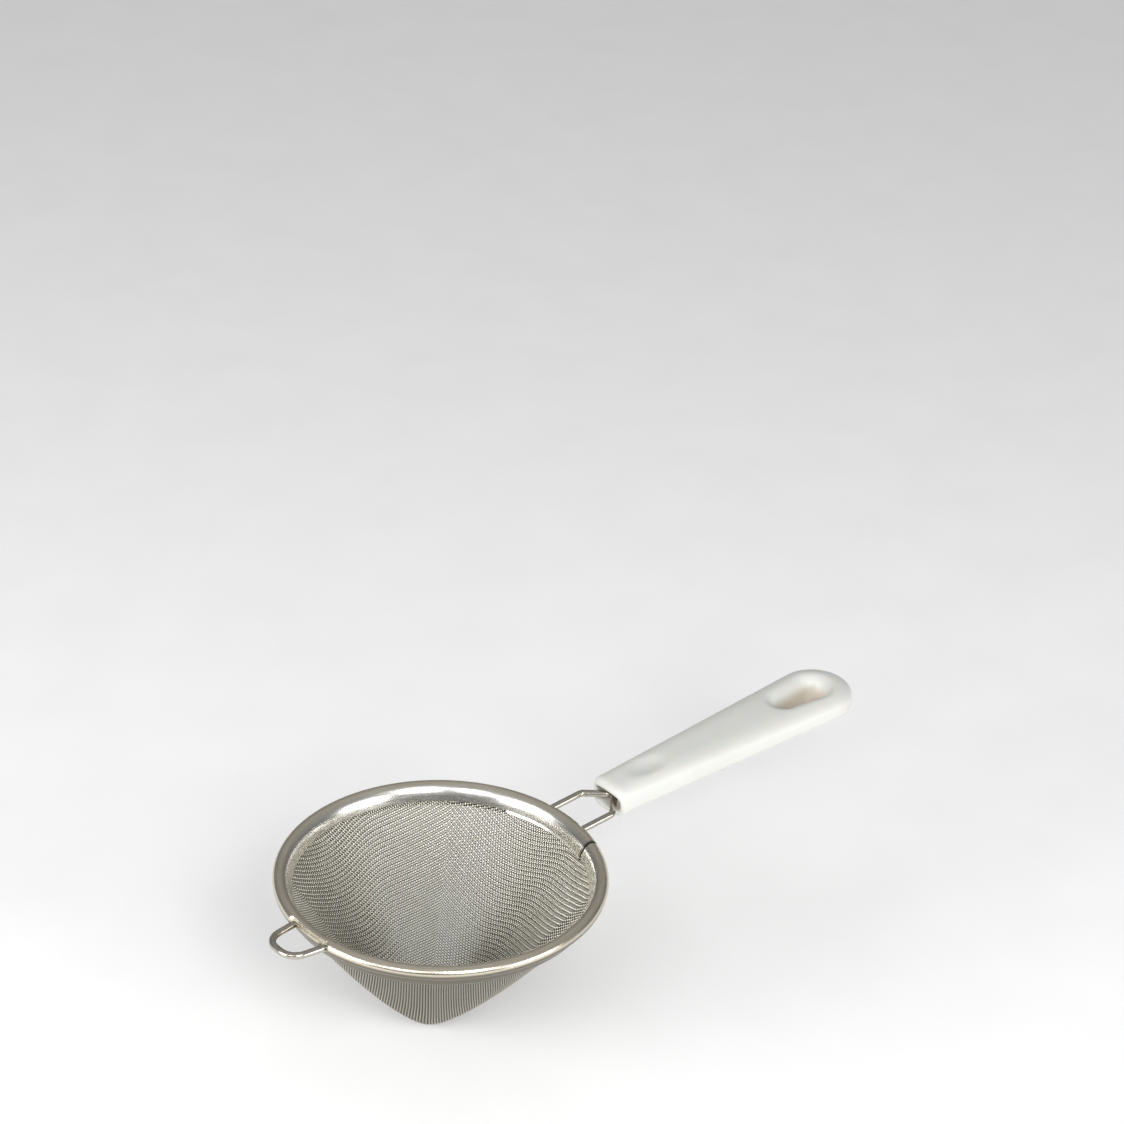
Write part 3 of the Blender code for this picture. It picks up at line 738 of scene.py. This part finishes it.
def surface_net(field, low, high, cell):
    """Quads on the zero surface of a field, one point in each cell that the surface crosses."""
    axes = [np.arange(a, b + cell, cell) for a, b in zip(low, high)]
    value = field(np.stack(np.meshgrid(*axes, indexing="ij"), -1))
    inside = value < 0
    shape = np.array(value.shape) - 1
    total, weight = np.zeros((*shape, 3)), np.zeros(shape)
    for axis in range(3):
        others = [a for a in range(3) if a != axis]
        for du in (0, 1):
            for dv in (0, 1):
                start = [slice(None)] * 3
                start[axis] = slice(0, shape[axis])
                stop = list(start)
                stop[axis] = slice(1, None)
                for other, shift in zip(others, (du, dv)):
                    start[other] = slice(shift, shift + shape[other])
                    stop[other] = start[other]
                a, b = value[tuple(start)], value[tuple(stop)]
                crossed = (a < 0) != (b < 0)
                t = np.where(crossed, a / np.where(crossed, a - b, 1), 0)
                offset = np.zeros((*shape, 3))
                offset[..., axis] = t
                offset[..., others[0]] = du
                offset[..., others[1]] = dv
                total += offset * crossed[..., None]
                weight += crossed
    active = weight > 0
    index = np.full(shape, -1)
    index[active] = np.arange(active.sum())
    cells = np.argwhere(active)
    verts = (cells + total[active] / weight[active][:, None]) * cell + np.array(low)
    faces = []
    for axis in range(3):
        u, v = (axis + 1) % 3, (axis + 2) % 3
        stop = np.roll(inside, -1, axis)
        crossed = inside != stop
        spots = np.argwhere(crossed)
        spots = spots[(spots[:, axis] < shape[axis]) & (spots[:, u] > 0) & (spots[:, v] > 0)
                      & (spots[:, u] < shape[u]) & (spots[:, v] < shape[v])]
        corners = []
        for du, dv in ((-1, -1), (0, -1), (0, 0), (-1, 0)):
            corner = spots.copy()
            corner[:, u] += du
            corner[:, v] += dv
            corners.append(index[tuple(corner.T)])
        quads = np.stack(corners, 1)
        outward = inside[tuple(spots.T)]
        quads[~outward] = quads[~outward][:, ::-1]
        faces.append(quads)
    return verts, np.concatenate(faces)


def settle(field, verts):
    """Moves points onto the zero surface of a field, along its slope."""
    for _ in range(SETTLE_ROUNDS):
        value = field(verts)
        slope = np.stack([
            (field(verts + PROBE * unit) - field(verts - PROBE * unit)) / (2 * PROBE)
            for unit in np.eye(3)], -1)
        steep = np.maximum((slope ** 2).sum(-1), LEAST_SLOPE)
        step = slope * (value / steep)[:, None]
        length = np.linalg.norm(step, axis=1)
        step *= np.minimum(1, GRIP_CELL / 2 / np.maximum(length, 1e-9))[:, None]
        verts = verts - step
    return verts


def handle_grip(finish):
    margin_x, margin_y, margin_z = GRIP_MARGIN
    low = (GRIP_START - margin_x, -GRIP_REAR_SIZE[0] - margin_y, GRIP_FRONT_Z - margin_z)
    high = (GRIP_END + margin_x, GRIP_REAR_SIZE[0] + margin_y, GRIP_REAR_Z + margin_z)
    verts, faces = surface_net(grip_field, low, high, GRIP_CELL)
    verts = settle(grip_field, verts)
    piece = add_piece("handle_grip_moulding", verts, faces.tolist(), "handle_grip",
                      finish)
    x, y, z = verts.T
    # painted shade inside the slot and the mouth, for the material
    slot = fade(egg_distance(x, y, SLOT_FRONT, SLOT_REAR), -0.3, 0.9)
    mouth = (fade(np.abs(y), 3.6, 4.4) * fade(np.abs(z - strand_height(x)), 1.5, 2.3)
             * fade(x, GRIP_START + 1.5, GRIP_START) * fade(x, TANG_END_X, TANG_END_X + 2))
    tint(piece, "painted_recess_shade", np.maximum(slot, mouth))


# ---- floor, light and camera ---------------------------------------------------------------

CAMERA_AT = (-386.8, -473.0, 428.4)                 # from the rim's middle
CAMERA_HEADING = 48.31                              # degrees from +X, seen from above
CAMERA_DIP = 29.24                                  # degrees below the horizon
CAMERA_ROLL = 2.30
LENS, SENSOR = 100.0, 36.0
FLOOR_HALF, FLOOR_DROP = 3.0, 0.0002                # metres
WORLD_HEIGHTS = (0.1, 0.9)                          # the sky brightens from one to the other
WORLD_STRENGTHS = (0.18, 0.46)
LIGHTS = (                                          # azimuth, height, reach, size and power
    ("key", 249, 36, 1.0, (0.36, 0.40), 4.6),
    ("second_key", 207, 34, 1.0, (0.36, 0.40), 1.5),
    ("left_panel", 166, 20, 0.8, (0.5, 0.3), 4.0),
    ("right_panel", 290, 15, 0.9, (0.5, 0.3), 2.9),
)


def floor():
    pale = Shader("pale_floor", Roughness=0.6, Emission_Strength=0.10)
    speckle = pale.noise(pale.place, 40, detail=2)
    colour = pale.mix(pale.spread(speckle, 0, 1), (0.90, 0.90, 0.90), (0.93, 0.93, 0.93))
    pale.set("Base Color", colour)
    half = FLOOR_HALF
    mesh = bpy.data.meshes.new("floor")
    mesh.from_pydata([(-half, -half, 0), (half, -half, 0), (half, half, 0), (-half, half, 0)],
                     [], [(0, 1, 2, 3)])
    mesh.materials.append(pale.material)
    plane = bpy.data.objects.new("floor", mesh)
    plane.location.z = -FLOOR_DROP
    bpy.context.scene.collection.objects.link(plane)


def aim(thing, target):
    heading = Vector(target) - thing.location
    thing.rotation_euler = heading.to_track_quat("-Z", "Y").to_euler()


def add_light(name, place, target, size, power):
    lamp = bpy.data.lights.new(name, "AREA")
    lamp.shape = "RECTANGLE"
    lamp.size, lamp.size_y = size
    lamp.energy = power
    thing = bpy.data.objects.new(name, lamp)
    thing.location = place
    bpy.context.scene.collection.objects.link(thing)
    aim(thing, target)


def studio():
    """A sky that brightens upwards, and four soft panels round the strainer."""
    world = bpy.data.worlds.new("studio")
    world.use_nodes = True
    nodes, links = world.node_tree.nodes, world.node_tree.links
    place = nodes.new("ShaderNodeTexCoord")
    parts = nodes.new("ShaderNodeSeparateXYZ")
    ramp = nodes.new("ShaderNodeMapRange")
    links.new(place.outputs["Generated"], parts.inputs[0])
    links.new(parts.outputs[2], ramp.inputs["Value"])
    for socket, number in zip(("From Min", "From Max", "To Min", "To Max"),
                              WORLD_HEIGHTS + WORLD_STRENGTHS):
        ramp.inputs[socket].default_value = number
    links.new(ramp.outputs[0], nodes["Background"].inputs["Strength"])
    nodes["Background"].inputs["Color"].default_value = (1, 1, 1, 1)
    bpy.context.scene.world = world
    bpy.context.scene.view_settings.view_transform = "Standard"
    for name, azimuth, height, reach, size, power in LIGHTS:
        a, h = math.radians(azimuth), math.radians(height)
        way = Vector((math.cos(a) * math.cos(h), math.sin(a) * math.cos(h), math.sin(h)))
        add_light(name, RIM_CENTRE + reach * way, RIM_CENTRE, size, power)


def camera():
    lens = bpy.data.cameras.new("view")
    lens.lens, lens.sensor_width = LENS, SENSOR
    lens.clip_start, lens.clip_end = 0.05, 20
    thing = bpy.data.objects.new("view", lens)
    thing.location = RIM_CENTRE + Vector(CAMERA_AT) * MM
    heading, dip, roll = (math.radians(a) for a in (CAMERA_HEADING, CAMERA_DIP, CAMERA_ROLL))
    forward = Vector((math.cos(heading) * math.cos(dip), math.sin(heading) * math.cos(dip),
                      -math.sin(dip)))
    turned = forward.to_track_quat("-Z", "Y") @ Matrix.Rotation(roll, 3, "Z").to_quaternion()
    thing.rotation_euler = turned.to_euler()
    bpy.context.scene.collection.objects.link(thing)
    bpy.context.scene.camera = thing


def main():
    rim_band(rim_steel())
    wire = wire_steel()
    rest_loop(wire)
    tang_wire(wire)
    woven_cloth(cloth_steel())
    handle_grip(grip_plastic())
    floor()
    studio()
    camera()


main()
